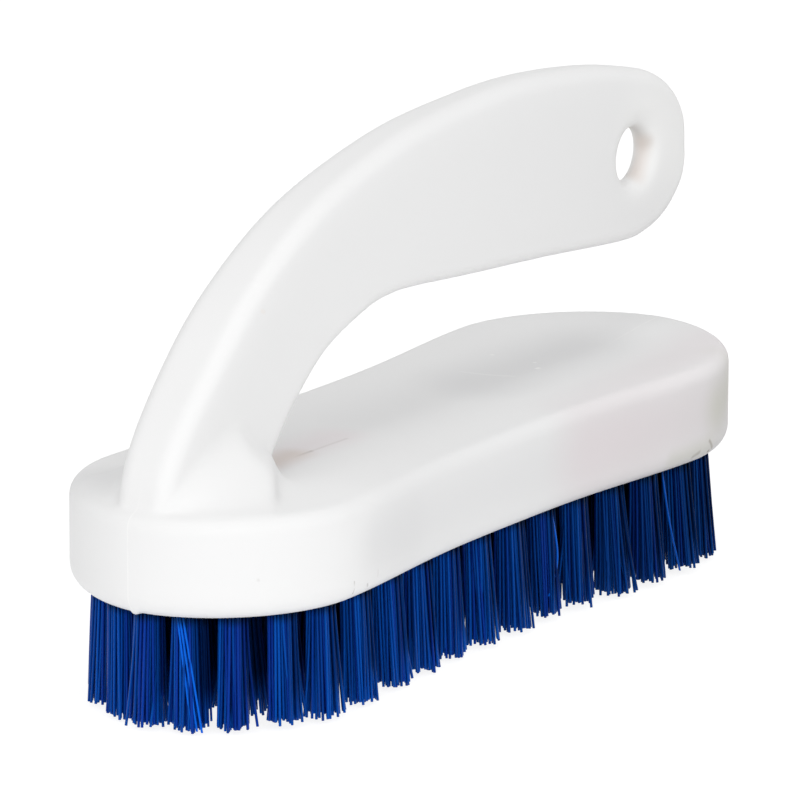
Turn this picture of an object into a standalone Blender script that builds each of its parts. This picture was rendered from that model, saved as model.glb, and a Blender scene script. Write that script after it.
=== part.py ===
"""A nail brush: one moulded back with an arched handle, and tufts of filament set in its underside.

The back lies along X, with the handle's root at -X and its free end, with the hanging hole, at +X.
Z is up, and the brush stands on its trimmed bristle tips at Z = 0. Y = 0 is the plane of symmetry.
Every length is in metres.
"""

import math

import bmesh
import bpy
from mathutils import Matrix, Vector

# The block that carries the bristles
BLOCK_LENGTH = 0.140
BLOCK_WIDTH = 0.0454
WAIST_WIDTH = 0.0402
BLOCK_THICKNESS = 0.0150
END_ROUND_LENGTH = 0.0237
RIM_RADIUS = 0.0021
LOWER_EDGE_RADIUS = 0.0033
DISH_DEPTH = 0.0014
END_ROUND_POWER = 1.85
WAIST_POWER = 1.8
END_STEPS = 9
WAIST_STEPS = 6
FILLET_STEPS = 3
DISH_RING_SHARES = (0.84, 0.62, 0.36, 0.10)

# The handle, an arch that leaves one end of the block and runs back over its whole length
HANDLE_RISE = 0.0451
HANDLE_ROOT_THICKNESS = 0.0103
HANDLE_TIP_THICKNESS = 0.0038
HANDLE_OUTER_EDGE_RADIUS = 0.0024
HANDLE_INNER_EDGE_RADIUS = 0.0014
HANDLE_BURIED = 0.0035
HANDLE_CURVE_STEPS = 4
HANDLE_EDGE_SEGMENTS = 3
HANDLE_EDGE_LIMIT = 0.86
EYE_DIAMETER = 0.0094
EYE_RIM_RADIUS = 0.0016
EYE_SIDES = 24
EYE_RIM_STEPS = 3

# The foot, where the handle's sides flare out to the rim of the block's round end
FOOT_HEIGHT = 0.0120
FOOT_SINK = 0.0006
FOOT_REAR_SPREAD = 0.0010
FOOT_RIM_SETBACK = 0.0005
FOOT_SECTION_DEPTH = 0.0040
FOOT_SECTION_POWER = 3.0
FOOT_RINGS = 8
FOOT_NOSE_STEPS = 5
FOOT_RIM_STEPS = 6
FOOT_REAR_STEPS = 5
FOOT_START_ANGLE = math.radians(14)

# The tufts, each a bundle of filaments folded into a blind hole in the underside
BRISTLE_LENGTH = 0.0170
TUFT_DIAMETER = 0.0046
TUFT_ROOT_DEPTH = 0.0080
SEAT_CLEARANCE = 0.0003
TUFT_SIDES = 8
OUTER_RING_INSET = 0.0051
END_RUN = 0.0264
TUFTS_PER_END = 9
TUFTS_PER_SIDE = 10

# The inner tufts stand three to a row, each row on its own slice of the backing
INNER_END_MARGIN = 0.0167
INNER_ROWS = 14
INNER_SPREAD_SHARE = 0.5
SLICE_THICKNESS = 0.0022
SLICE_WIDTH = 0.0054
SLICE_END_STEPS = 4

# The strands that stand for a tuft's filaments: one in the middle and a ring round it
STRAND_RADIUS = 0.00058
STRAND_RING_RADIUS = 0.00150
STRAND_SPLAY = 0.00065
OUTER_TUFT_LEAN = 0.0010
STRAND_ROOT = 0.0009
RING_STRANDS = 5
STRAND_SIDES = 3

OVERRUN = 0.0020
WELD = 0.00001
FINE_OUTLINE_FACTOR = 8

# The handle's outline, as shares of half the block's length along X and of the handle's rise above
# the block's rim along Z. It runs up the outer edge, round the tip and back along the inner edge.
ROOT_FRONT_SHARE = -0.966
OUTER_EDGE_SHARES = (
    (-0.918, 0.165),
    (-0.814, 0.368),
    (-0.646, 0.607),
    (-0.408, 0.813),
    (-0.094, 0.947),
    (0.180, 0.992),
    (0.400, 0.999),
    (0.640, 0.965),
    (0.821, 0.917),
)
TIP_REACH_SHARE = 1.031
TIP_EDGE_SHARES = (
    (0.911, 0.866),
    (0.979, 0.789),
    (1.019, 0.694),
    (TIP_REACH_SHARE, 0.599),
    (1.023, 0.503),
    (0.992, 0.430),
    (0.943, 0.377),
    (0.876, 0.344),
)
INNER_EDGE_SHARES = (
    (0.780, 0.336),
    (0.466, 0.379),
    (0.151, 0.419),
    (-0.036, 0.444),
    (-0.129, 0.448),
    (-0.229, 0.426),
    (-0.377, 0.339),
    (-0.487, 0.213),
    (-0.549, 0.106),
    (-0.568, 0.020),
)
ROOT_REAR_SHARE = -0.566
EYE_ALONG_SHARE = 0.822
EYE_UP_SHARE = 0.614

# The corner of the foot's plan on the rim, from which its sides run straight to the handle's rear
FOOT_CORNER_ALONG_SHARE = -0.814

WHITE_PLASTIC = (0.86, 0.86, 0.85, 1.0)
BLUE_FILAMENT = (0.010, 0.050, 0.330, 1.0)

HALF_LENGTH = BLOCK_LENGTH / 2
BLOCK_FLOOR = BRISTLE_LENGTH
BLOCK_TOP = BLOCK_FLOOR + BLOCK_THICKNESS
ROOT_FLOOR = BLOCK_TOP - DISH_DEPTH - HANDLE_BURIED


def clear_scene():
    """Empties the scene that the script starts in."""
    for thing in list(bpy.data.objects):
        bpy.data.objects.remove(thing)


def new_collection(name):
    """Adds a collection to the scene."""
    collection = bpy.data.collections.new(name)
    bpy.context.scene.collection.children.link(collection)
    return collection


def plastic(name, colour, roughness):
    """A plain plastic with the sub-part's own colour and roughness."""
    material = bpy.data.materials.new(name)
    material.use_nodes = True
    shader = material.node_tree.nodes["Principled BSDF"]
    shader.inputs["Base Color"].default_value = colour
    shader.inputs["Roughness"].default_value = roughness
    shader.inputs["Metallic"].default_value = 0.0
    return material


def finished_mesh(name, bm, material):
    """Turns a bmesh into a mesh whose faces point outwards."""
    bmesh.ops.recalc_face_normals(bm, faces=bm.faces)
    mesh = bpy.data.meshes.new(name)
    bm.to_mesh(mesh)
    bm.free()
    mesh.materials.append(material)
    return mesh


def place(name, mesh, collection):
    """Adds an object that shows the mesh."""
    thing = bpy.data.objects.new(name, mesh)
    collection.objects.link(thing)
    return thing


def as_helper(thing):
    """Marks a solid that is only joined to another, or cut from it."""
    thing.hide_render = True
    thing.display_type = "WIRE"
    return thing


def add_boolean(thing, operation, other):
    """Joins or cuts with a Boolean modifier that stays on the object."""
    modifier = thing.modifiers.new(other.name, "BOOLEAN")
    modifier.operation = operation
    modifier.solver = "EXACT"
    modifier.object = other


def loft(bm, rings):
    """Joins closed rings of equally many points into a skin and closes both ends."""
    made = [[bm.verts.new(point) for point in ring] for ring in rings]
    count = len(made[0])
    for lower, upper in zip(made[:-1], made[1:]):
        for i in range(count):
            j = (i + 1) % count
            bm.faces.new((lower[i], lower[j], upper[j], upper[i]))
    bm.faces.new(made[0][::-1])
    bm.faces.new(made[-1])


# The block


def block_half_width(x):
    """Half the block's width at x: a narrow waist between two round ends."""
    reach = HALF_LENGTH - END_ROUND_LENGTH
    wide = BLOCK_WIDTH / 2
    narrow = WAIST_WIDTH / 2
    if abs(x) <= reach:
        along = abs(x) / reach
        smooth = along * along * (3 - 2 * along)
        return narrow + (wide - narrow) * smooth**WAIST_POWER
    along = min(1.0, (abs(x) - reach) / END_ROUND_LENGTH)
    return wide * (1 - along**END_ROUND_POWER) ** (1 / END_ROUND_POWER)


def quarter_outline(end_steps, waist_steps):
    """The block's outline from the waist's middle to the tip at +X, on the +Y side."""
    reach = HALF_LENGTH - END_ROUND_LENGTH
    points = []
    for i in range(waist_steps):
        x = reach * i / waist_steps
        points.append(Vector((x, block_half_width(x))))
    for i in range(end_steps):
        turn = math.pi / 2 * i / end_steps
        along = math.sin(turn) ** (2 / END_ROUND_POWER)
        across = math.cos(turn) ** (2 / END_ROUND_POWER)
        points.append(Vector((reach + END_ROUND_LENGTH * along, BLOCK_WIDTH / 2 * across)))
    points.append(Vector((HALF_LENGTH, 0.0)))
    return points


def block_outline(end_steps=END_STEPS, waist_steps=WAIST_STEPS):
    """The whole outline from the tip at +X, anticlockwise seen from above."""
    quarter = quarter_outline(end_steps, waist_steps)
    upper = quarter[::-1] + [Vector((-point.x, point.y)) for point in quarter[1:]]
    lower = [Vector((point.x, -point.y)) for point in upper[1:-1]]
    return upper + lower[::-1]


def inset_outline(outline, inset):
    """The outline moved inwards by the same distance everywhere."""
    count = len(outline)
    moved = []
    for i, point in enumerate(outline):
        along = (outline[(i + 1) % count] - outline[i - 1]).normalized()
        moved.append(point + Vector((-along.y, along.x)) * inset)
    return moved


def fine_block_outline():
    """The outline with many more points, for measuring along it."""
    return block_outline(FINE_OUTLINE_FACTOR * END_STEPS, FINE_OUTLINE_FACTOR * WAIST_STEPS)


def run_lengths(chain):
    """How far along a chain of points each of them lies."""
    runs = [0.0]
    for first, second in zip(chain[:-1], chain[1:]):
        runs.append(runs[-1] + (second - first).length)
    return runs


def point_on(chain, runs, run):
    """The point at a distance along a chain, and the chain's direction there."""
    i = next((k for k in range(len(chain) - 1) if runs[k + 1] >= run), len(chain) - 2)
    share = (run - runs[i]) / (runs[i + 1] - runs[i])
    return chain[i].lerp(chain[i + 1], share), (chain[i + 1] - chain[i]).normalized()


def spaced(chain, steps):
    """The chain divided into equal steps."""
    runs = run_lengths(chain)
    return [point_on(chain, runs, runs[-1] * i / steps)[0] for i in range(steps + 1)]


def block_mesh(material):
    """The lower edge's fillet, the wall, the rim's fillet and the dished top, as one skin."""
    outline = block_outline()
    rings = []
    for i in range(FILLET_STEPS + 1):
        turn = math.pi / 2 * i / FILLET_STEPS
        inset = LOWER_EDGE_RADIUS * (1 - math.sin(turn))
        height = BLOCK_FLOOR + LOWER_EDGE_RADIUS * (1 - math.cos(turn))
        rings.append([(p.x, p.y, height) for p in inset_outline(outline, inset)])
    for i in range(FILLET_STEPS + 1):
        turn = math.pi / 2 * i / FILLET_STEPS
        inset = RIM_RADIUS * (1 - math.cos(turn))
        height = BLOCK_TOP - RIM_RADIUS * (1 - math.sin(turn))
        rings.append([(p.x, p.y, height) for p in inset_outline(outline, inset)])
    lip = inset_outline(outline, RIM_RADIUS)
    for share in DISH_RING_SHARES:
        height = BLOCK_TOP - DISH_DEPTH * (1 - share * share)
        rings.append([(p.x * share, p.y * share, height) for p in lip])
    bm = bmesh.new()
    loft(bm, rings)
    return finished_mesh("brush_back", bm, material)


# The handle


def handle_point(along, up):
    """A point of the handle in the plane Y = 0, from its shares."""
    return Vector((along * HALF_LENGTH, BLOCK_TOP + up * HANDLE_RISE))


def handle_half_thickness(x):
    """Half the handle's thickness, which tapers evenly from the root to the tip."""
    start = ROOT_FRONT_SHARE * HALF_LENGTH
    along = (x - start) / (TIP_REACH_SHARE * HALF_LENGTH - start)
    return (HANDLE_ROOT_THICKNESS + (HANDLE_TIP_THICKNESS - HANDLE_ROOT_THICKNESS) * along) / 2


def handle_curve():
    """The handle's outline as a flat curve, smooth everywhere but at the two buried corners."""
    front = Vector((ROOT_FRONT_SHARE * HALF_LENGTH, ROOT_FLOOR))
    rear = Vector((ROOT_REAR_SHARE * HALF_LENGTH, ROOT_FLOOR))
    shares = OUTER_EDGE_SHARES + TIP_EDGE_SHARES + INNER_EDGE_SHARES
    points = [front] + [handle_point(*pair) for pair in shares] + [rear]
    curve = bpy.data.curves.new("handle outline", "CURVE")
    curve.dimensions = "2D"
    curve.fill_mode = "BOTH"
    curve.extrude = HANDLE_ROOT_THICKNESS / 2
    curve.resolution_u = HANDLE_CURVE_STEPS
    spline = curve.splines.new("BEZIER")
    spline.bezier_points.add(len(points) - 1)
    for knot, point in zip(spline.bezier_points, points):
        knot.co = (point.x, point.y, 0.0)
        knot.handle_left_type = "AUTO"
        knot.handle_right_type = "AUTO"
    for knot in (spline.bezier_points[0], spline.bezier_points[-1]):
        knot.handle_left_type = "VECTOR"
        knot.handle_right_type = "VECTOR"
    spline.use_cyclic_u = True
    return curve


def mesh_of_curve(curve, turned):
    """A curve's solid as a bmesh, turned into place, with its caps welded to its sides."""
    guide = bpy.data.objects.new(curve.name, curve)
    bpy.context.scene.collection.objects.link(guide)
    graph = bpy.context.evaluated_depsgraph_get()
    mesh = bpy.data.meshes.new_from_object(guide.evaluated_get(graph))
    bm = bmesh.new()
    bm.from_mesh(mesh)
    bpy.data.meshes.remove(mesh)
    bpy.data.objects.remove(guide)
    bmesh.ops.remove_doubles(bm, verts=bm.verts, dist=WELD)
    bmesh.ops.transform(bm, matrix=turned, verts=bm.verts)
    return bm


def handle_mesh(material):
    """The outline as a plate standing on edge, tapered to the tip, its long edges marked for rounding."""
    bm = mesh_of_curve(handle_curve(), Matrix.Rotation(math.pi / 2, 4, "X"))
    for side in (-1, 1):
        bm.normal_update()
        flat = [face for face in bm.faces if face.normal.y * side > 0.9]
        bmesh.ops.dissolve_faces(bm, faces=flat)
    for vert in bm.verts:
        vert.co.y *= handle_half_thickness(vert.co.x) / (HANDLE_ROOT_THICKNESS / 2)
    bm.normal_update()
    least = HANDLE_INNER_EDGE_RADIUS / HANDLE_OUTER_EDGE_RADIUS
    weight = bm.edges.layers.float.new("bevel_weight_edge")
    for edge in bm.edges:
        sides = [face for face in edge.link_faces if abs(face.normal.y) > 0.9]
        walls = [face for face in edge.link_faces if abs(face.normal.y) < 0.5]
        if len(sides) == 1 and len(walls) == 1:
            upward = (1 + walls[0].normal.z) / 2
            most = handle_half_thickness(edge.verts[0].co.x) * HANDLE_EDGE_LIMIT
            wished = least + (1 - least) * upward
            edge[weight] = min(wished, most / HANDLE_OUTER_EDGE_RADIUS)
    return finished_mesh("handle", bm, material)


def eye_cutter_mesh(material):
    """The hanging hole: a turned shape whose ends open out into round rims."""
    centre_x = EYE_ALONG_SHARE * HALF_LENGTH
    half = handle_half_thickness(centre_x)
    radius = EYE_DIAMETER / 2
    upper = [(radius + EYE_RIM_RADIUS, half + OVERRUN)]
    for i in range(EYE_RIM_STEPS + 1):
        turn = math.pi / 2 * i / EYE_RIM_STEPS
        out = radius + EYE_RIM_RADIUS * (1 - math.sin(turn))
        upper.append((out, half - EYE_RIM_RADIUS * (1 - math.cos(turn))))
    profile = upper + [(out, -level) for out, level in upper[::-1]]
    rings = []
    for out, level in profile:
        ring = []
        for i in range(EYE_SIDES):
            turn = math.tau * i / EYE_SIDES
            ring.append((out * math.cos(turn), level, out * math.sin(turn)))
        rings.append(ring)
    bm = bmesh.new()
    loft(bm, rings)
    return finished_mesh("eye_cutter", bm, material)


# The foot of the handle


def edge_at_height(points, height):
    """Where a chain of outline points crosses a height."""
    for first, second in zip(points[:-1], points[1:]):
        low, high = sorted((first.y, second.y))
        if low <= height <= high and high > low:
            share = (height - first.y) / (second.y - first.y)
            return first.x + (second.x - first.x) * share
    return points[-1].x


def in_three_runs(nose, corner_run, rear_run):
    """Half of a level outline, divided so that its three runs match those of every other level."""
    points = spaced(nose, FOOT_NOSE_STEPS)
    points += spaced(corner_run, FOOT_RIM_STEPS)[1:]
    return points + spaced(rear_run, FOOT_REAR_STEPS)[1:]


def handle_section(front, corner, rear):
    """Half of the handle seen from above at one height: round its front and along its side."""
    half = handle_half_thickness(front) - FOOT_SINK
    nose = []
    for i in range(FOOT_NOSE_STEPS + 1):
        turn = math.pi / 2 * i / FOOT_NOSE_STEPS
        back = 1 - math.cos(turn) ** (2 / FOOT_SECTION_POWER)
        across = math.sin(turn) ** (2 / FOOT_SECTION_POWER)
        nose.append(Vector((front + FOOT_SECTION_DEPTH * back, half * across)))
    middle = Vector((corner, handle_half_thickness(corner) - FOOT_SINK))
    end = Vector((rear, handle_half_thickness(rear) - FOOT_SINK))
    return in_three_runs(nose, [nose[-1], middle], [middle, end])


def foot_plan(rear):
    """Half of the foot's outline on the block: along the rim, then straight to the handle's rear."""
    corner_x = FOOT_CORNER_ALONG_SHARE * HALF_LENGTH
    lip = inset_outline(fine_block_outline(), RIM_RADIUS + FOOT_RIM_SETBACK)
    run = sorted((point for point in lip if point.x <= corner_x and point.y >= 0), key=lambda p: p.y)
    nose = [point for point in run if point.y <= HANDLE_ROOT_THICKNESS / 2]
    end = Vector((rear, handle_half_thickness(rear) + FOOT_REAR_SPREAD))
    return in_three_runs(nose, run[len(nose) - 1 :], [run[-1], end])


def foot_mesh(material):
    """The flare at the handle's root: the handle's section, spreading downwards to the foot's plan."""
    front = [Vector((ROOT_FRONT_SHARE * HALF_LENGTH, ROOT_FLOOR))]
    front += [handle_point(*pair) for pair in OUTER_EDGE_SHARES]
    rear = [Vector((ROOT_REAR_SHARE * HALF_LENGTH, ROOT_FLOOR))]
    rear += [handle_point(*pair) for pair in INNER_EDGE_SHARES[::-1]]
    plan = foot_plan(edge_at_height(rear, BLOCK_TOP) - FOOT_SINK)
    levels = [(1.0, ROOT_FLOOR)]
    for i in range(FOOT_RINGS):
        turn = FOOT_START_ANGLE + (math.pi / 2 - FOOT_START_ANGLE) * i / (FOOT_RINGS - 1)
        out = (1 - math.sin(turn)) / (1 - math.sin(FOOT_START_ANGLE))
        up = (math.cos(FOOT_START_ANGLE) - math.cos(turn)) / math.cos(FOOT_START_ANGLE)
        levels.append((out, BLOCK_TOP - FOOT_SINK + FOOT_HEIGHT * up))
    rings = []
    for out, height in levels:
        ahead = edge_at_height(front, height) + FOOT_SINK
        behind = edge_at_height(rear, max(height, BLOCK_TOP)) - FOOT_SINK
        section = handle_section(ahead, FOOT_CORNER_ALONG_SHARE * HALF_LENGTH, behind)
        half_ring = [inner.lerp(outer, out) for inner, outer in zip(section, plan)]
        ring = [(point.x, point.y, height) for point in half_ring]
        ring += [(point.x, -point.y, height) for point in half_ring[:0:-1]]
        rings.append(ring)
    bm = bmesh.new()
    loft(bm, rings)
    return finished_mesh("handle_foot", bm, material)


# The tufts


def outer_tuft_places():
    """Places of the outer ring's tufts and the way each faces: closer together round the ends."""
    ring = inset_outline(fine_block_outline(), OUTER_RING_INSET)
    ring.append(ring[0])
    runs = run_lengths(ring)
    half = runs[-1] / 2
    end_pitch = 2 * END_RUN / (TUFTS_PER_END - 1)
    side_pitch = (half - 2 * END_RUN) / (TUFTS_PER_SIDE + 1)
    steps = [-END_RUN + end_pitch * i for i in range(TUFTS_PER_END)]
    steps += [END_RUN + side_pitch * (i + 1) for i in range(TUFTS_PER_SIDE)]
    places = []
    for start in (0.0, half):
        for step in steps:
            point, along = point_on(ring, runs, (start + step) % runs[-1])
            places.append((point, math.atan2(-along.x, along.y)))
    return places


def add_prism(bm, sides, radius, low_middle, high_middle, top, bottom, turn=0.0):
    """A straight or leaning prism between two level ends."""
    rings = []
    for middle, height in ((low_middle, bottom), (high_middle, top)):
        ring = []
        for i in range(sides):
            angle = turn + math.tau * i / sides
            ring.append(
                (middle.x + radius * math.cos(angle), middle.y + radius * math.sin(angle), height)
            )
        rings.append(ring)
    loft(bm, rings)


def add_strands(bm, centre, lean=0.0):
    """One tuft's strands: one in the middle, a ring spreading round it, all cut level at Z = 0."""
    top = BLOCK_FLOOR + STRAND_ROOT
    aside = Vector((lean, 0.0))
    add_prism(bm, STRAND_SIDES, STRAND_RADIUS, centre + aside, centre, top, 0.0)
    for i in range(RING_STRANDS):
        turn = math.tau * i / RING_STRANDS
        out = Vector((math.cos(turn), math.sin(turn)))
        rooted = centre + out * STRAND_RING_RADIUS
        tip = centre + aside + out * (STRAND_RING_RADIUS + STRAND_SPLAY)
        add_prism(bm, STRAND_SIDES, STRAND_RADIUS, tip, rooted, top, 0.0, turn)


def joined(name, body, strands, material, helpers):
    """A mesh of the body with the strands joined to it by a Boolean union."""
    base = place(name, finished_mesh(name, body, material), helpers)
    added = place(name + "_strands", finished_mesh(name, strands, material), helpers)
    add_boolean(base, "UNION", added)
    graph = bpy.context.evaluated_depsgraph_get()
    mesh = bpy.data.meshes.new_from_object(base.evaluated_get(graph))
    bpy.data.objects.remove(base)
    bpy.data.objects.remove(added)
    return mesh


def outer_tuft_mesh(material, helpers):
    """A tuft of the outer ring: the round bundle in its hole and the strands below it."""
    middle = Vector((0.0, 0.0))
    body = bmesh.new()
    top = BLOCK_FLOOR + TUFT_ROOT_DEPTH
    turn = math.pi / TUFT_SIDES
    add_prism(body, TUFT_SIDES, TUFT_DIAMETER / 2, middle, middle, top, BLOCK_FLOOR, turn)
    strands = bmesh.new()
    add_strands(strands, middle, OUTER_TUFT_LEAN)
    return joined("tuft_outer", body, strands, material, helpers)


def slot_ring(half_length, half_width, height):
    """A level ring with straight sides along Y and round ends."""
    straight = half_length - half_width
    ring = []
    for side in (1, -1):
        for i in range(SLICE_END_STEPS + 1):
            turn = math.pi * i / SLICE_END_STEPS
            x = side * half_width * math.cos(turn)
            y = side * (straight + half_width * math.sin(turn))
            ring.append(Vector((x, y, height)))
    return ring


def inner_rows():
    """Each inner row's place along X and the distance of its two side tufts from the middle."""
    ring = inset_outline(fine_block_outline(), OUTER_RING_INSET)
    side = [Vector((point.y, point.x)) for point in ring if point.y >= 0]
    span = BLOCK_LENGTH - 2 * INNER_END_MARGIN
    rows = []
    for i in range(INNER_ROWS):
        x = span * (i / (INNER_ROWS - 1) - 1 / 2)
        rows.append((x, INNER_SPREAD_SHARE * edge_at_height(side, x)))
    return rows


def inner_row_mesh(name, spread, material, helpers):
    """Three tufts across the brush on one slice of the backing."""
    half_length = spread + SLICE_WIDTH / 2
    body = bmesh.new()
    lower = slot_ring(half_length, SLICE_WIDTH / 2, BLOCK_FLOOR)
    upper = [point + Vector((0, 0, SLICE_THICKNESS)) for point in lower]
    loft(body, [lower, upper])
    strands = bmesh.new()
    for y in (-spread, 0.0, spread):
        add_strands(strands, Vector((0.0, y)))
    return joined(name, body, strands, material, helpers)


def seat_cutter_mesh(places, rows, material):
    """The blind holes of the outer tufts and the shallow slots of the inner rows, as one cutter."""
    bm = bmesh.new()
    low = BLOCK_FLOOR - OVERRUN
    radius = TUFT_DIAMETER / 2 + SEAT_CLEARANCE
    high = BLOCK_FLOOR + TUFT_ROOT_DEPTH + SEAT_CLEARANCE
    for middle, facing in places:
        turn = facing + math.pi / TUFT_SIDES
        add_prism(bm, TUFT_SIDES, radius, middle, middle, high, low, turn)
    for x, spread in rows:
        half_width = SLICE_WIDTH / 2 + SEAT_CLEARANCE
        lower = slot_ring(spread + half_width, half_width, low)
        rise = Vector((0, 0, OVERRUN + SLICE_THICKNESS + SEAT_CLEARANCE))
        lower = [point + Vector((x, 0, 0)) for point in lower]
        loft(bm, [lower, [point + rise for point in lower]])
    return finished_mesh("seat_cutter", bm, material)


def build():
    """Makes the brush and sets its middle over the origin."""
    clear_scene()
    brush = new_collection("nail_brush")
    helpers = new_collection("cutters and joined solids")
    white = plastic("white plastic", WHITE_PLASTIC, 0.34)
    blue = plastic("blue filament", BLUE_FILAMENT, 0.38)

    frame = bpy.data.objects.new("brush_frame", None)
    frame.location.x = -(TIP_REACH_SHARE - 1) * HALF_LENGTH / 2
    brush.objects.link(frame)

    handle = as_helper(place("handle", handle_mesh(white), helpers))
    rounding = handle.modifiers.new("edges", "BEVEL")
    rounding.width = HANDLE_OUTER_EDGE_RADIUS
    rounding.segments = HANDLE_EDGE_SEGMENTS
    rounding.limit_method = "WEIGHT"
    foot = as_helper(place("handle_foot", foot_mesh(white), helpers))
    eye = as_helper(place("eye_cutter", eye_cutter_mesh(white), helpers))
    eye.location.x = EYE_ALONG_SHARE * HALF_LENGTH
    eye.location.z = BLOCK_TOP + EYE_UP_SHARE * HANDLE_RISE
    places = outer_tuft_places()
    rows = inner_rows()
    seats = as_helper(place("seat_cutter", seat_cutter_mesh(places, rows, white), helpers))

    back = place("brush_back", block_mesh(white), brush)
    add_boolean(back, "UNION", handle)
    add_boolean(back, "UNION", foot)
    add_boolean(back, "DIFFERENCE", eye)
    add_boolean(back, "DIFFERENCE", seats)
    for thing in (handle, foot, eye, seats, back):
        thing.parent = frame

    tuft = outer_tuft_mesh(blue, helpers)
    for number, (middle, facing) in enumerate(places, start=1):
        thing = place(f"tuft_outer_{number:02d}", tuft, brush)
        thing.location.xy = middle
        thing.rotation_euler.z = facing
        thing.parent = frame
    for number, (x, spread) in enumerate(rows, start=1):
        name = f"tuft_row_{number:02d}"
        thing = place(name, inner_row_mesh(name, spread, blue, helpers), brush)
        thing.location.x = x
        thing.parent = frame
    print(len(places), "outer tufts,", len(rows), "inner rows")
    print((len(places) + 3 * len(rows)) * (1 + RING_STRANDS), "strands")


build()
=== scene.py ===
# %% [markdown]
# # A nail brush, from frame to finish
# The brush is one white moulding, a waisted block with an arched handle, and eighty tufts of blue
# filament set in its underside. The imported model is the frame: it fixes where everything is. Each
# cell adds one piece or one finish to it. Sizes are in millimetres in the block's own coordinates,
# where X runs from the handle's root to the free end, Z is up from the underside, and zero is the
# middle of the block. One function moves them to the frame.

# %% Load the frame
import math

import bpy
import numpy as np
from mathutils import Matrix, Vector


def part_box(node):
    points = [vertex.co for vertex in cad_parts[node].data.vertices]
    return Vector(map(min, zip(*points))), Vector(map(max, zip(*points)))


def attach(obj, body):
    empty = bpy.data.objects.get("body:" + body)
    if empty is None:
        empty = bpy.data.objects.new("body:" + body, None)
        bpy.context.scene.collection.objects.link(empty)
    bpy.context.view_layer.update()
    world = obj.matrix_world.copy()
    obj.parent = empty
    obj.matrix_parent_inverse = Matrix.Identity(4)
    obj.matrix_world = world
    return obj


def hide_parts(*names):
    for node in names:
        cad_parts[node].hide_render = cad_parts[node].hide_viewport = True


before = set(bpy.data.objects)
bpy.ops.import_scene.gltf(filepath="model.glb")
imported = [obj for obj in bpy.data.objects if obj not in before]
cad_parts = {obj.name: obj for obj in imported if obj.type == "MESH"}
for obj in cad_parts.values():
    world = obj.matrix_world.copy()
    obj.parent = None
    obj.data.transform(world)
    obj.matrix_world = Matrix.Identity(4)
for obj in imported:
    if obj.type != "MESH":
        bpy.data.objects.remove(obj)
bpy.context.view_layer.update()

MM = 0.001
BLOCK_LENGTH = 140.0
BLOCK_THICKNESS = 15.0
BRISTLE_LENGTH = 17.0
HALF_LENGTH = BLOCK_LENGTH / 2
BLOCK_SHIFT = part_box("brush_back")[0].x / MM + HALF_LENGTH
print("nodes", len(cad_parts), "block shifted by", round(BLOCK_SHIFT, 3), "mm")


def to_frame(points):
    """Block coordinates in millimetres to the frame's metres."""
    return (np.asarray(points, float) + (BLOCK_SHIFT, 0.0, BRISTLE_LENGTH)) * MM


def placed_object(name, data):
    """An object of this data at the origin, linked to the scene."""
    thing = bpy.data.objects.new(name, data)
    bpy.context.scene.collection.objects.link(thing)
    return thing


# %% [markdown]
# ## The camera
# A long lens from far away keeps the verticals nearly parallel, as a catalogue photograph has them.
# A pinhole camera was fitted to the outlines of the block and the handle. The numbers below are its
# direction, distance and focal length.

# %% Camera
CAMERA_AZIMUTH = 55.3988
CAMERA_ELEVATION = 14.9714
CAMERA_ROLL = 0.1765
CAMERA_DISTANCE = 8.8071 * BLOCK_LENGTH
CAMERA_TARGET = np.array((-0.03, -0.0093, 0.1259)) * BLOCK_LENGTH
SENSOR_WIDTH = 36.0
FOCAL_PIXELS = 8373.19
PICTURE_PIXELS = 800
CLIP_END = 100.0


def add_camera():
    """A camera at the fitted place, looking along the fitted direction."""
    turn, lift, roll = (math.radians(a) for a in (CAMERA_AZIMUTH, CAMERA_ELEVATION, CAMERA_ROLL))
    back = Vector((-math.sin(turn) * math.cos(lift), -math.cos(turn) * math.cos(lift), math.sin(lift)))
    level = (-back).cross(Vector((0, 0, 1))).normalized()
    upright = level.cross(-back)
    right = level * math.cos(roll) + upright * math.sin(roll)
    up = upright * math.cos(roll) - level * math.sin(roll)
    place = Vector(to_frame(CAMERA_TARGET + np.array(back) * CAMERA_DISTANCE))
    data = bpy.data.cameras.new("camera")
    data.sensor_width = SENSOR_WIDTH
    data.lens = FOCAL_PIXELS * SENSOR_WIDTH / PICTURE_PIXELS
    data.clip_end = CLIP_END
    camera = placed_object("camera", data)
    camera.matrix_world = Matrix.Translation(place) @ Matrix((right, up, back)).transposed().to_4x4()
    bpy.context.scene.camera = camera
    return place


print("camera at", tuple(round(v, 3) for v in add_camera()))

# %% [markdown]
# ## The back's plan
# Seen from above, the block has a narrower waist and two round ends, which are superellipses, a
# little squarer than a circle. The rounded rim, the dished top and the ring of tufts all follow the
# distance from this outline.

# %% Outline of the block
BLOCK_WIDTH = 45.4
WAIST_WIDTH = 40.2
END_ROUND_LENGTH = 23.7
END_ROUND_POWER = 1.85
WAIST_POWER = 1.8
STRAIGHT_REACH = HALF_LENGTH - END_ROUND_LENGTH
END_STEPS, WAIST_STEPS = 90, 60


def block_half_width(x):
    """Half the block's width at each x."""
    along = np.clip(np.abs(x) / STRAIGHT_REACH, 0, 1)
    smooth = along * along * (3 - 2 * along)
    side = WAIST_WIDTH / 2 + (BLOCK_WIDTH - WAIST_WIDTH) / 2 * smooth**WAIST_POWER
    outer = np.clip((np.abs(x) - STRAIGHT_REACH) / END_ROUND_LENGTH, 0, 1)
    end = BLOCK_WIDTH / 2 * (1 - outer**END_ROUND_POWER) ** (1 / END_ROUND_POWER)
    return np.where(np.abs(x) <= STRAIGHT_REACH, side, end)


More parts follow.
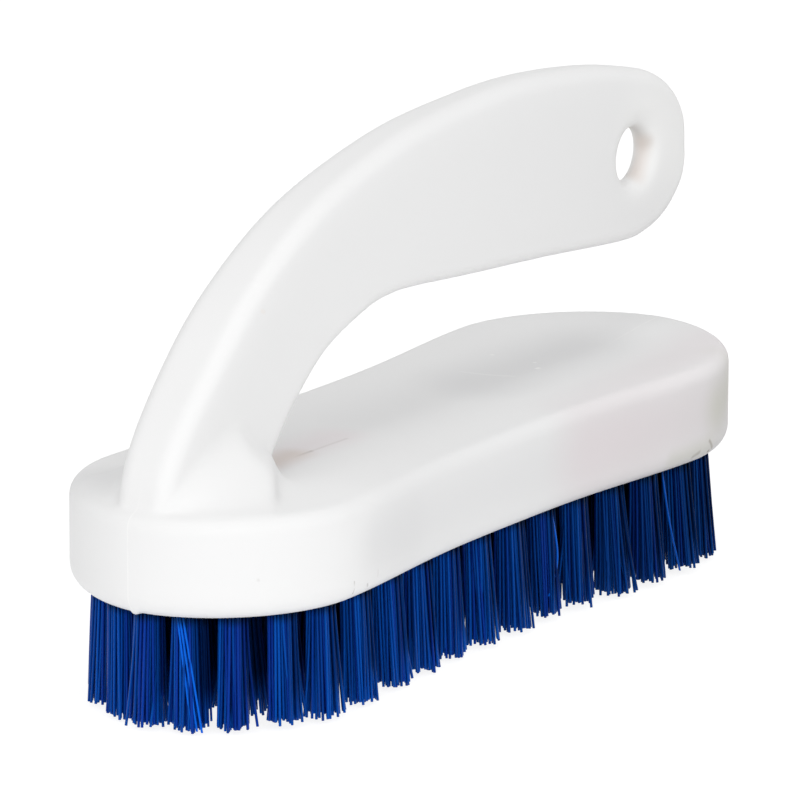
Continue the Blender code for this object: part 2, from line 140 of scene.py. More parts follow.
def block_outline(end_steps, waist_steps):
    """The outline from the tip at +X, anticlockwise, as an array of points."""
    straight = np.linspace(0, STRAIGHT_REACH, waist_steps, endpoint=False)
    turn = np.linspace(0, math.pi / 2, end_steps + 1)
    along = STRAIGHT_REACH + END_ROUND_LENGTH * np.sin(turn) ** (2 / END_ROUND_POWER)
    across = BLOCK_WIDTH / 2 * np.clip(np.cos(turn), 0, 1) ** (2 / END_ROUND_POWER)
    across[-1] = 0.0
    quarter = np.concatenate(
        [np.stack([straight, block_half_width(straight)], 1), np.stack([along, across], 1)]
    )
    upper = np.concatenate([quarter[::-1], quarter[1:] * (-1, 1)])
    return np.concatenate([upper, upper[-2:0:-1] * (1, -1)])


def inset(outline, distance):
    """The outline moved inwards by the same distance everywhere."""
    along = np.roll(outline, -1, 0) - np.roll(outline, 1, 0)
    along /= np.linalg.norm(along, axis=1)[:, None]
    return outline + np.stack([-along[:, 1], along[:, 0]], 1) * distance


outline = block_outline(END_STEPS, WAIST_STEPS)
print("outline of", len(outline), "points,", np.ptp(outline, 0).round(2), "mm")

# %% [markdown]
# ## The handle's profile
# Seen from the side, the handle leaves the block's end, arches over, and runs back to a round free
# end with a hole in it. A Catmull-Rom curve through the points below is smooth everywhere.

# %% Profile of the handle
OUTER_EDGE = [
    (-67.62, 10.0), (-67.55, 15.0), (-64.9, 22.75), (-57.5, 31.9), (-45.65, 42.8), (-29.0, 52.2),
    (-6.8, 58.3), (12.6, 60.3), (28.0, 60.55), (44.9, 58.95), (57.5, 56.45), (64.2, 54.4),
    (69.2, 51.2), (72.4, 46.85), (73.3, 42.1),
]
INNER_EDGE = [
    (73.3, 42.1), (72.1, 37.5), (69.4, 34.1), (65.9, 31.7), (61.35, 30.25), (54.6, 29.85),
    (32.6, 31.85), (10.6, 33.6), (-2.5, 34.75), (-9.0, 34.95), (-15.9, 34.0), (-26.4, 30.25),
    (-34.1, 24.5), (-38.5, 19.75), (-40.9, 16.2), (-41.4, 10.0),
]
CURVE_STEPS = 14


def catmull_rom(points, steps):
    """A smooth chain through the points."""
    knots = np.array(points, float)
    knots = np.concatenate([2 * knots[:1] - knots[1:2], knots, 2 * knots[-1:] - knots[-2:-1]])
    t = np.linspace(0, 1, steps, endpoint=False)[:, None]
    pieces = []
    for a, b, c, d in zip(knots[:-3], knots[1:-2], knots[2:-1], knots[3:]):
        bend = (2 * a - 5 * b + 4 * c - d) * t * t + (3 * b - a - 3 * c + d) * t**3
        pieces.append((2 * b + (c - a) * t + bend) / 2)
    return np.concatenate(pieces + [knots[-2:-1]])


whole_edge = catmull_rom(OUTER_EDGE + INNER_EDGE[1:], CURVE_STEPS)
split = CURVE_STEPS * (len(OUTER_EDGE) - 1)
outer_chain, inner_chain = whole_edge[: split + 1], whole_edge[split:]
print("profile of", len(whole_edge), "points, highest at", whole_edge[:, 1].max().round(2), "mm")

# %% [markdown]
# ## A distance field for the moulding
# Block, handle and foot flow into each other with soft fillets, and every edge is rounded. A signed
# distance field says how far any point is from the surface, negative inside, and a soft minimum
# joins two forms and fills the corner between them. Flat distances to the outline and the profile
# are measured once on fine tables and read back from there.

# %% Distances on flat tables
TABLE_STEP = 0.25


def distance_to_chain(points, chain):
    """The least distance from each point to a chain of straight runs."""
    best = np.full(len(points), np.inf)
    for a, b in zip(chain[:-1], chain[1:]):
        run = b - a
        share = np.clip(((points - a) @ run) / (run @ run), 0, 1)
        gap = points - a - share[:, None] * run
        best = np.minimum(best, np.einsum("ij,ij->i", gap, gap))
    return np.sqrt(best)


def inside_ring(points, ring):
    """Whether each point lies inside a closed ring."""
    inside = np.zeros(len(points), bool)
    for a, b in zip(ring, np.roll(ring, -1, 0)):
        if a[1] == b[1]:
            continue
        crosses = (a[1] > points[:, 1]) != (b[1] > points[:, 1])
        reach = a[0] + (points[:, 1] - a[1]) * (b[0] - a[0]) / (b[1] - a[1])
        inside ^= crosses & (points[:, 0] < reach)
    return inside


class Table:
    """Values on a flat grid, read back at any place by bilinear interpolation."""

    def __init__(self, low, high, make):
        self.low = np.array(low, float)
        self.count = np.ceil((np.array(high) - self.low) / TABLE_STEP).astype(int) + 1
        axes = [self.low[i] + TABLE_STEP * np.arange(self.count[i]) for i in (0, 1)]
        grid = np.stack(np.meshgrid(*axes, indexing="ij"), -1).reshape(-1, 2)
        self.values = make(grid).reshape(self.count)

    def __call__(self, u, v):
        s = np.clip((u - self.low[0]) / TABLE_STEP, 0, self.count[0] - 1.001)
        t = np.clip((v - self.low[1]) / TABLE_STEP, 0, self.count[1] - 1.001)
        i, j = s.astype(int), t.astype(int)
        s, t = s - i, t - j
        w = self.values
        low = w[i, j] * (1 - t) + w[i, j + 1] * t
        high = w[i + 1, j] * (1 - t) + w[i + 1, j + 1] * t
        return low * (1 - s) + high * s


def signed_distance(points, ring):
    """Distance to a closed ring, negative inside it."""
    far = distance_to_chain(points, np.concatenate([ring, ring[:1]]))
    return np.where(inside_ring(points, ring), -far, far)


PLAN_LOW, PLAN_HIGH = (-74, 0), (76, 26)
SIDE_LOW, SIDE_HIGH = (-74, -4), (76, 64)
plan_distance = Table(PLAN_LOW, PLAN_HIGH, lambda p: signed_distance(p, outline))
side_distance = Table(SIDE_LOW, SIDE_HIGH, lambda p: signed_distance(p, whole_edge))
outer_distance = Table(SIDE_LOW, SIDE_HIGH, lambda p: distance_to_chain(p, outer_chain))
inner_distance = Table(SIDE_LOW, SIDE_HIGH, lambda p: distance_to_chain(p, inner_chain))
print("tables of", plan_distance.values.size, "and", side_distance.values.size, "values")

# %% [markdown]
# ## The tufts' places
# The holes are drilled in a pattern. One ring follows the outline, a little closer together at the
# round ends, and rows of three fill the middle. The places come before the moulding because its
# underside has a hole for each.

# %% Places of the tufts
OUTER_RING_INSET = 5.1
RING_SHARES = (
    0, 0.0397, 0.0841, 0.1325, 0.1789, 0.2394, 0.3026, 0.3611, 0.4156, 0.4707,
    0.5293, 0.5844, 0.6389, 0.6954, 0.7505, 0.8070, 0.8581, 0.9052, 0.9523, 1,
)
INNER_END_MARGIN = 16.7
INNER_ROWS = 14
INNER_SPREAD_SHARE = 0.5


def outer_places():
    """Each outer tuft's place and the direction that it faces, from the middle of the handle's end."""
    ring = inset(outline, OUTER_RING_INSET)
    ring = np.roll(ring, -np.argmin(ring[:, 0]), 0)
    ring = np.concatenate([ring, ring[:1]])
    steps = np.linalg.norm(np.diff(ring, axis=0), axis=1)
    runs = np.concatenate([[0], np.cumsum(steps)])
    shares = np.array(RING_SHARES) / 2
    wanted = np.concatenate([shares, 1 - shares[-2:0:-1]]) * runs[-1]
    ahead_of_it = (wanted + 0.5) % runs[-1]
    place = np.stack([np.interp(wanted, runs, ring[:, i]) for i in (0, 1)], 1)
    ahead = np.stack([np.interp(ahead_of_it, runs, ring[:, i]) for i in (0, 1)], 1)
    along = (ahead - place) / np.linalg.norm(ahead - place, axis=1)[:, None]
    return place, np.stack([along[:, 1], -along[:, 0]], 1)


def inner_places():
    """The three tufts of each inner row."""
    ring = inset(outline, OUTER_RING_INSET)
    upper = ring[ring[:, 1] >= 0]
    upper = upper[np.argsort(upper[:, 0])]
    x = np.linspace(-0.5, 0.5, INNER_ROWS) * (BLOCK_LENGTH - 2 * INNER_END_MARGIN)
    spread = INNER_SPREAD_SHARE * np.interp(x, upper[:, 0], upper[:, 1])
    return np.concatenate([np.stack([x, side * spread], 1) for side in (-1, 0, 1)])


outer_tufts, outer_facing = outer_places()
inner_tufts = inner_places()
print(len(outer_tufts), "outer and", len(inner_tufts), "inner tufts")

# %% [markdown]
# ## The forms of the moulding
# The block is its outline raised to a height, with a tight radius on the rim, a wider one below,
# and a top that dips towards the middle line, more so at the free end. The handle is its profile
# with a thickness that tapers from the root to the free end. At the root the thickness grows
# downwards in a hollow curve until it stands on the rim, and a flat between the rim and the
# handle's rear edge ends this foot. The sides are a little hollow, because a thick wall shrinks
# most in its middle as it cools. Higher up the plate is a wedge with an eased outer edge, which
# fills the hand, and the eye has wide rims, so that a hook finds it. A tiny nib is left at the
# block's end, where the two halves of the mould met.

# %% Field of the block, the handle and the whole back
RIM_RADIUS = 2.1
LOWER_EDGE_RADIUS = 3.2
DISH_DEPTH, DISH_SLOPE, DISH_LEAST, DISH_MOST = 1.0, 0.011, 0.7, 1.45
DISH_REACH = 17.0
ROOT_FRONT, TIP_REACH = -67.62, 72.17
ROOT_THICKNESS, TIP_THICKNESS = 10.3, 4.4
SIDE_HOLLOW = 0.2
EDGE_EASE, EASE_REACH = 0.6, 7.0
WEDGE, WEDGE_FROM, WEDGE_TO = 0.18, 18.0, 38.0
OUTER_EDGE_RADIUS, INNER_EDGE_RADIUS, EDGE_LIMIT = 2.4, 1.5, 0.9
EYE_X, EYE_Z, EYE_RADIUS, EYE_RIM_RADIUS, EYE_BLEND = 57.6, 42.8, 4.1, 2.1, 4.5
EYE_EASE, EYE_REACH, EYE_STRETCH = 0.3, 5.0, 0.64
FOOT_STEEPNESS, FOOT_LEAST_HEIGHT, FOOT_START = 0.62, 1.0, math.radians(24)
FOOT_REAR_SPREAD, FOOT_REAR_X, FOOT_END_RADIUS = 0.3, -40.6, 1.4
FOOT_REAR_HEIGHT, FOOT_RISE = 3.2, 0.8
FOOT_RIM_INSET, FOOT_CORNER_X, FOOT_SOFTNESS = 2.5, -57.0, 1.6
HOLE_RADIUS, HOLE_DEPTH, HOLE_SOFTNESS = 2.45, 1.6, 0.5
FRONT_FILLET, REAR_FILLET, FILLET_FROM, FILLET_RUN = 1.1, 4.2, -52, 10
NIB_PLACE, NIB_RADIUS = (-68.35, -0.3, 0.95), 0.95

foot_lip = inset(outline, FOOT_RIM_INSET)


def hole_distance(points):
    """Distance to the nearest tuft's hole, folded onto the +Y side."""
    tufts = np.concatenate([outer_tufts, inner_tufts])
    return np.min([np.hypot(*(points - tuft).T) for tuft in tufts], 0) - HOLE_RADIUS


hole_gap = Table(PLAN_LOW, PLAN_HIGH, hole_distance)


def soft_min(a, b, k):
    """The lower of two values, with the corner between them filled over a width k."""
    h = np.clip((b - a) / k / 2 + 0.5, 0, 1)
    return b + (a - b) * h - k * h * (1 - h)


def rounded_corner(a, b, radius):
    """Inside both a and b, with the edge between them rounded."""
    u, v = np.maximum(a + radius, 0), np.maximum(b + radius, 0)
    return np.minimum(np.maximum(a, b) + radius, 0) + np.hypot(u, v) - radius


def smooth_step(t):
    """0 below 0, 1 above 1, and a smooth rise between."""
    t = np.clip(t, 0, 1)
    return t * t * (3 - 2 * t)


def top_height(x, y):
    """The height of the block's top, which dips from the rim towards the middle line."""
    depth = np.clip(DISH_DEPTH + DISH_SLOPE * x, DISH_LEAST, DISH_MOST)
    inwards = -plan_distance(x, np.abs(y)) - RIM_RADIUS
    return BLOCK_THICKNESS - depth * smooth_step(inwards / DISH_REACH)


def block_field(x, y, z):
    """The block: rounded above and below, dished on top."""
    edge = plan_distance(x, np.abs(y))
    above = rounded_corner(edge, z - top_height(x, y), RIM_RADIUS)
    below = rounded_corner(edge, -z, LOWER_EDGE_RADIUS)
    return np.maximum(above, below)


def handle_half(x):
    """Half the handle's thickness without its foot."""
    along = (x - ROOT_FRONT) / (TIP_REACH - ROOT_FRONT)
    return (ROOT_THICKNESS + (TIP_THICKNESS - ROOT_THICKNESS) * along) / 2


def rim_reach(x):
    """How far out the rim lies at each x of the handle's end."""
    run = foot_lip[(foot_lip[:, 1] >= 0) & (foot_lip[:, 0] < 0)]
    run = run[np.argsort(run[:, 0])]
    return np.interp(x, run[:, 0], run[:, 1], left=0.0)


def foot_spread(x):
    """How far the foot stands out from the handle's side to reach the rim."""
    return -soft_min(handle_half(x) - rim_reach(x), 0 * x, FOOT_SOFTNESS)


def behind_foot(x, y):
    """Distance past the flat where the foot ends, between the rim and the handle's rear edge."""
    rear_y = handle_half(FOOT_REAR_X) + FOOT_REAR_SPREAD
    slope = (rim_reach(FOOT_CORNER_X) - rear_y) / (FOOT_REAR_X - FOOT_CORNER_X)
    return (np.abs(y) - rear_y - slope * (FOOT_REAR_X - x)) / math.hypot(1, slope)


def half_with_foot(points):
    """Half the handle's thickness at each x and z, foot and all."""
    x, z = points.T
    height = FOOT_STEEPNESS * foot_spread(x) + FOOT_LEAST_HEIGHT
    rear = FOOT_REAR_HEIGHT + FOOT_RISE * np.maximum(FOOT_REAR_X - x, 0)
    height = np.maximum(soft_min(height, rear, FOOT_SOFTNESS), FOOT_LEAST_HEIGHT)
    up = np.clip((z - BLOCK_THICKNESS) / height, 0, 1)
    level = 1 - (math.cos(FOOT_START) * (1 - up)) ** 2
    out = (1 - np.sqrt(level)) / (1 - math.sin(FOOT_START))
    return handle_half(x) + foot_spread(x) * out


handle_width = Table(SIDE_LOW, SIDE_HIGH, half_with_foot)


def handle_field(x, y, z):
    """The handle: a plate with rounded edges, a hole, and a foot that flares."""
    step = TABLE_STEP
    slope_x = (handle_width(x + step, z) - handle_width(x - step, z)) / step / 2
    slope_z = (handle_width(x, z + step) - handle_width(x, z - step)) / step / 2
    to_inner, to_outer = inner_distance(x, z), outer_distance(x, z)
    share = to_inner / (to_inner + to_outer + TABLE_STEP)
    hollow = SIDE_HOLLOW * 4 * share * (1 - share)
    hollow = hollow + EDGE_EASE * np.maximum(1 - to_outer / EASE_REACH, 0) ** 2
    raised = smooth_step((z - WEDGE_FROM) / (WEDGE_TO - WEDGE_FROM))
    hollow = hollow - WEDGE * handle_half(x) * share * raised
    eye = EYE_RADIUS - np.hypot(x - EYE_X, z - EYE_Z)
    hollow = hollow + EYE_EASE * np.clip(1 + eye / EYE_REACH, 0, 1) ** 2
    across = np.abs(y) - handle_width(x, z) + hollow
    across = across / np.sqrt(1 + slope_x**2 + slope_z**2)
    edge = np.maximum(side_distance(x, z), eye * EYE_STRETCH)
    radius = INNER_EDGE_RADIUS + (OUTER_EDGE_RADIUS - INNER_EDGE_RADIUS) * smooth_step(share)
    radius = EYE_RIM_RADIUS + (radius - EYE_RIM_RADIUS) * smooth_step(-eye / EYE_BLEND)
    radius = np.minimum(radius, handle_half(x) * EDGE_LIMIT)
    plate = rounded_corner(edge, np.abs(y) - handle_half(x) + hollow, radius)
    foot = rounded_corner(rounded_corner(edge, across, radius), behind_foot(x, y), FOOT_END_RADIUS)
    return np.minimum(plate, foot)


def back_field(x, y, z):
    """The whole moulding."""
    rearwards = smooth_step((x - FILLET_FROM) / FILLET_RUN)
    fillet = FRONT_FILLET + (REAR_FILLET - FRONT_FILLET) * rearwards
    solid = soft_min(block_field(x, y, z), handle_field(x, y, z), fillet)
    nib = np.sqrt(sum((a - b) ** 2 for a, b in zip((x, y, z), NIB_PLACE))) - NIB_RADIUS
    solid = np.minimum(solid, nib)
    hole = np.maximum(hole_gap(x, np.abs(y)), z - HOLE_DEPTH)
    return -soft_min(-solid, hole, HOLE_SOFTNESS)


probe = np.array([[0.0, 0.0, 13.6], [0.0, 20.1, 8.0], [20.0, 0.0, 59.9], [-55.0, 10.0, 18.0]])
print("field at four places near the surface", back_field(*probe.T).round(2))

# %% [markdown]
# ## From the field to a mesh
# Surface nets turn the field into quads. Every cell that the surface passes through gets one point,
# and every grid edge that it crosses gets a quad. The points then move onto the surface along the
# field's slope and are evened out, which takes away the stair steps.

# %% Surface nets
CELL = 0.68
FIELD_LOW = np.array((-71.2, -23.8, -1.0))
FIELD_HIGH = np.array((74.4, 23.8, 61.4))
PROBE_STEP, LEAST_SLOPE = 0.05, 0.2
EVENING_ROUNDS = 3


def sample_grid(field):
    """The field on a regular grid, slice by slice."""
    count = np.ceil((FIELD_HIGH - FIELD_LOW) / CELL).astype(int) + 1
    axes = [FIELD_LOW[i] + CELL * np.arange(count[i]) for i in range(3)]
    values = np.empty(count)
    y, z = (a.ravel() for a in np.meshgrid(axes[1], axes[2], indexing="ij"))
    for i, x in enumerate(axes[0]):
        values[i] = field(np.full(y.shape, x), y, z).reshape(count[1:])
    return values


def surface_nets(values):
    """(points, quads) of the surface where the values change sign."""
    inside = values < 0
    cells = np.array(values.shape) - 1
    total = np.zeros((*cells, 3))
    crossed = np.zeros(cells, int)
    for axis in range(3):
        others = [i for i in range(3) if i != axis]
        for offsets in np.ndindex(2, 2):
            low = [slice(0, -1)] * 3
            for other, offset in zip(others, offsets):
                low[other] = slice(offset, values.shape[other] - 1 + offset)
            high = list(low)
            high[axis] = slice(1, None)
            v0, v1 = values[tuple(low)], values[tuple(high)]
            change = inside[tuple(low)] != inside[tuple(high)]
            spot = np.zeros((*cells, 3))
            spot[..., axis] = np.where(change, v0 / np.where(change, v0 - v1, 1), 0)
            spot[..., others] = offsets
            total += spot * change[..., None]
            crossed += change
    used = crossed > 0
    number = np.full(cells, -1)
    number[used] = np.arange(used.sum())
    corner = np.argwhere(used)
    points = FIELD_LOW + CELL * (corner + total[used] / crossed[used][:, None])
    quads = []
    for axis in range(3):
        others = [(axis + 1) % 3, (axis + 2) % 3]
        low, high = [slice(None)] * 3, [slice(None)] * 3
        low[axis], high[axis] = slice(0, -1), slice(1, None)
        change = np.argwhere(inside[tuple(low)] != inside[tuple(high)])
        sides = change[:, others]
        change = change[((sides > 0) & (sides < cells[others])).all(1)]
        ring = []
        for offsets in ((-1, -1), (0, -1), (0, 0), (-1, 0)):
            at = change.copy()
            at[:, others] += offsets
            ring.append(number[tuple(at.T)])
        ring = np.stack(ring, 1)
        turned = ~inside[tuple(change.T)]
        ring[turned] = ring[turned][:, ::-1]
        quads.append(ring)
    return points, np.concatenate(quads)


def onto_surface(points, field, rounds):
    """Moves points along the field's slope until they lie on the surface."""
    for _ in range(rounds):
        slope = np.empty_like(points)
        for i, aside in enumerate(PROBE_STEP * np.eye(3)):
            slope[:, i] = field(*(points + aside).T) - field(*(points - aside).T)
        slope /= 2 * PROBE_STEP
        size = np.maximum(np.einsum("ij,ij->i", slope, slope), LEAST_SLOPE)
        step = np.clip(field(*points.T) / size, -CELL, CELL)
        points = points - slope * step[:, None]
    return points


def evened(points, quads):
    """Moves each point half way to the mean of its neighbours."""
    edges = np.concatenate([quads[:, [i, (i + 1) % 4]] for i in range(4)])
    total = np.zeros_like(points)
    for i in range(3):
        total[:, i] = np.bincount(edges[:, 0], points[edges[:, 1], i], len(points))
        total[:, i] += np.bincount(edges[:, 1], points[edges[:, 0], i], len(points))
    count = np.bincount(edges.ravel(), minlength=len(points))
    return (points + total / count[:, None]) / 2


def mesh_object(name, points, faces):
    """A smooth-shaded object at the origin, with its place in its mesh."""
    mesh = bpy.data.meshes.new(name)
    mesh.from_pydata(to_frame(points).tolist(), [], faces.tolist())
    mesh.update()
    mesh.shade_smooth()
    return placed_object(name, mesh)


points, quads = surface_nets(sample_grid(back_field))
points = onto_surface(points, back_field, 2)
for _ in range(EVENING_ROUNDS):
    points = onto_surface(evened(points, quads), back_field, 1)
points = onto_surface(points, back_field, 1)
back = mesh_object("moulded_back", points, quads)
print("moulded back:", len(points), "points,", 2 * len(quads), "triangles")
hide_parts("brush_back")
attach(back, "root")

# %% [markdown]
# ## A short way to write node trees
# The materials, the tufts and the world are node trees. A small class adds a node and links or sets
# its inputs in one call, so that each tree below reads like the sum that it works out.

# %% Node tree helpers
class Tree:
    """Adds nodes to a tree, and links or sets their inputs."""

    def __init__(self, tree):
        self.tree = tree

    def add(self, kind, inputs=None, **settings):
        node = self.tree.nodes.new(kind)
        for name, value in settings.items():
            setattr(node, name, value)
        for key, value in (inputs or {}).items():
            socket = node.inputs[key]
            if isinstance(value, bpy.types.NodeSocket):
                self.tree.links.new(value, socket)
            else:
                socket.default_value = value
        return node

    def first(self, kind, inputs=None, **settings):
        """The first output of a new node."""
        return self.add(kind, inputs, **settings).outputs[0]

    def math(self, operation, *values):
        return self.first("ShaderNodeMath", dict(enumerate(values)), operation=operation)

    def times(self, a, b):
        return self.math("MULTIPLY", a, b)

    def vector(self, operation, *values, output=0, **others):
        inputs = {**dict(enumerate(values)), **others}
        return self.add("ShaderNodeVectorMath", inputs, operation=operation).outputs[output]

    def scaled(self, vector, scale):
        return self.vector("SCALE", vector, Scale=scale)

    def dot(self, a, b):
        return self.vector("DOT_PRODUCT", a, b, output="Value")

    def ramp(self, value, low, high):
        """0 at low and 1 at high, with a smooth rise between."""
        inputs = {"Value": value, "From Min": low, "From Max": high}
        node = self.add("ShaderNodeMapRange", inputs, interpolation_type="SMOOTHSTEP")
        return node.outputs["Result"]

    def mixed(self, share, a, b):
        """One colour changed into another by a share."""
        return self.add("ShaderNodeMix", {0: share, 6: a, 7: b}, data_type="RGBA").outputs[2]

    def placed(self, group, output, inputs=None):
        """One output of a shared shader group, placed with its own values."""
        return self.add("ShaderNodeGroup", inputs, node_tree=group).outputs[output]

    def into(self, value, socket):
        """Links a value into a socket that is already there."""
        self.tree.links.new(value, socket)

    def stored(self, geometry, name, value, kind="FLOAT"):
        inputs = {"Geometry": geometry, "Name": name, "Value": value}
        return self.first("GeometryNodeStoreNamedAttribute", inputs, data_type=kind)

    def named(self, name, kind="FLOAT"):
        return self.first("GeometryNodeInputNamedAttribute", {"Name": name}, data_type=kind)


def shader_group(name, inputs, output):
    """A shared shader group with one output: the group, its tree and its inputs."""
    group = bpy.data.node_groups.new(name, "ShaderNodeTree")
    for label, kind in inputs:
        group.interface.new_socket(label, in_out="INPUT", socket_type="NodeSocket" + kind)
    group.interface.new_socket(output, in_out="OUTPUT", socket_type="NodeSocketFloat")
    t = Tree(group)
    return group, t, t.add("NodeGroupInput").outputs


def new_material(name, values):
    """A material with plain values on its shader: the material, its tree, its shader's inputs."""
    material = bpy.data.materials.new(name)
    material.use_nodes = True
    shader = material.node_tree.nodes["Principled BSDF"]
    for label, value in values.items():
        shader.inputs[label].default_value = value
    return material, Tree(material.node_tree), shader.inputs


print("tree helpers ready")

# %% [markdown]
# ## White moulded plastic
# The plastic is a clean white with a satin skin. Close up it has a fine grain and broad, very slight
# waves, which are a bump and not a shape. Two halves of a mould met at the middle plane and left a
# hairline there. Years of use leave pale specks, grey scuffs by the lower edge and a little brown
# dirt behind the foot, in the eye and at the free end. One shared mask, a stroke from one place to
# another that fades at its reach, draws them from a table. Wide, faint grey strokes in the same table
# are painted shade: on the near wall, which darkens towards the free end, on the free end's wall and
# beside the foot, and on the top as the handle's painted shadow. A pinkish stroke under the arch is
# painted shade too, a faint pinkish tint on the wall is partly aged plastic and partly painted
# shade, the brown behind the foot is dirt with painted shade in its crease, and a pale stroke on the
# handle's free end is painted light.

# %% Shared masks of the white plastic
SEAM_ENDS = ((-66.0, -69.5), (27.0, 34.0))
SEAM_BREAKS, SEAM_BREAK_RANGE = 260.0, (0.25, 0.6)
GRAIN_SCALE, WAVE_SCALE = 1500.0, 90.0


def stroke_group():
    """A shared mask: 1 along a straight stroke between two places, fading to 0 at its reach."""
    inputs = (("From", "Vector"), ("To", "Vector"), ("Reach", "Float"))
    group, t, given = shader_group("stroke", inputs, "Mask")
    place = t.add("ShaderNodeTexCoord").outputs["Object"]
    run = t.vector("SUBTRACT", given["To"], given["From"])
    gap = t.vector("SUBTRACT", place, given["From"])
    share = t.math("DIVIDE", t.dot(gap, run), t.math("MAXIMUM", t.dot(run, run), 1e-9))
    share = t.first("ShaderNodeClamp", {"Value": share})
    away = t.vector("SUBTRACT", gap, t.scaled(run, share))
    far = t.vector("LENGTH", away, output="Value")
    t.add("NodeGroupOutput", {"Mask": t.ramp(far, given["Reach"], 0.0)})
    return group


def seam_group():
    """A shared mask: the hairline at the middle plane, at both ends of the block."""
    group, t, given = shader_group("parting line", [("Half Width", "Float")], "Mask")
    place = t.add("ShaderNodeTexCoord").outputs["Object"]
    x, y, _ = t.add("ShaderNodeSeparateXYZ", {0: place}).outputs
    line = t.ramp(t.math("ABSOLUTE", y), given["Half Width"], 0.0)
    ends = [t.ramp(x, *(to_frame((reach, 0, 0))[0] for reach in pair)) for pair in SEAM_ENDS]
    broken = t.add("ShaderNodeTexNoise", {"Vector": place, "Scale": SEAM_BREAKS}).outputs["Fac"]
    kept = t.times(t.math("MAXIMUM", *ends), t.ramp(broken, *SEAM_BREAK_RANGE))
    t.add("NodeGroupOutput", {"Mask": t.times(line, kept)})
    return group


def skin_group():
    """A shared height: a fine grain on broad, very slight waves, in metres."""
    inputs = (("Grain", "Float"), ("Wave", "Float"))
    group, t, given = shader_group("moulded skin", inputs, "Height")
    place = t.add("ShaderNodeTexCoord").outputs["Object"]
    grain = t.add("ShaderNodeTexNoise", {"Vector": place, "Scale": GRAIN_SCALE, "Detail": 3.0})
    wave = t.add("ShaderNodeTexNoise", {"Vector": place, "Scale": WAVE_SCALE, "Detail": 1.0})
    height = t.times(grain.outputs["Fac"], given["Grain"])
    height = t.math("MULTIPLY_ADD", wave.outputs["Fac"], given["Wave"], height)
    t.add("NodeGroupOutput", {"Height": height})
    return group


# %% White plastic
WHITE = (0.875, 0.875, 0.875, 1)
# Pale is also painted light on the handle's free end.
PALE, SCUFF = (0.96, 0.96, 0.95, 1), (0.36, 0.33, 0.31, 1)
DIRT, SMEAR = (0.20, 0.15, 0.10, 1), (0.80, 0.60, 0.42, 1)
# The aged tint is partly the plastic's own pinkish tint and partly painted shade.
AGED_TINT_AND_SHADE, CREAM = (0.785, 0.735, 0.75, 1), (0.66, 0.66, 0.58, 1)
# The pinkish one is painted shade under the arch.
ROSE_SHADE, EARTH = (0.86, 0.80, 0.815, 1), (0.74, 0.66, 0.61, 1)
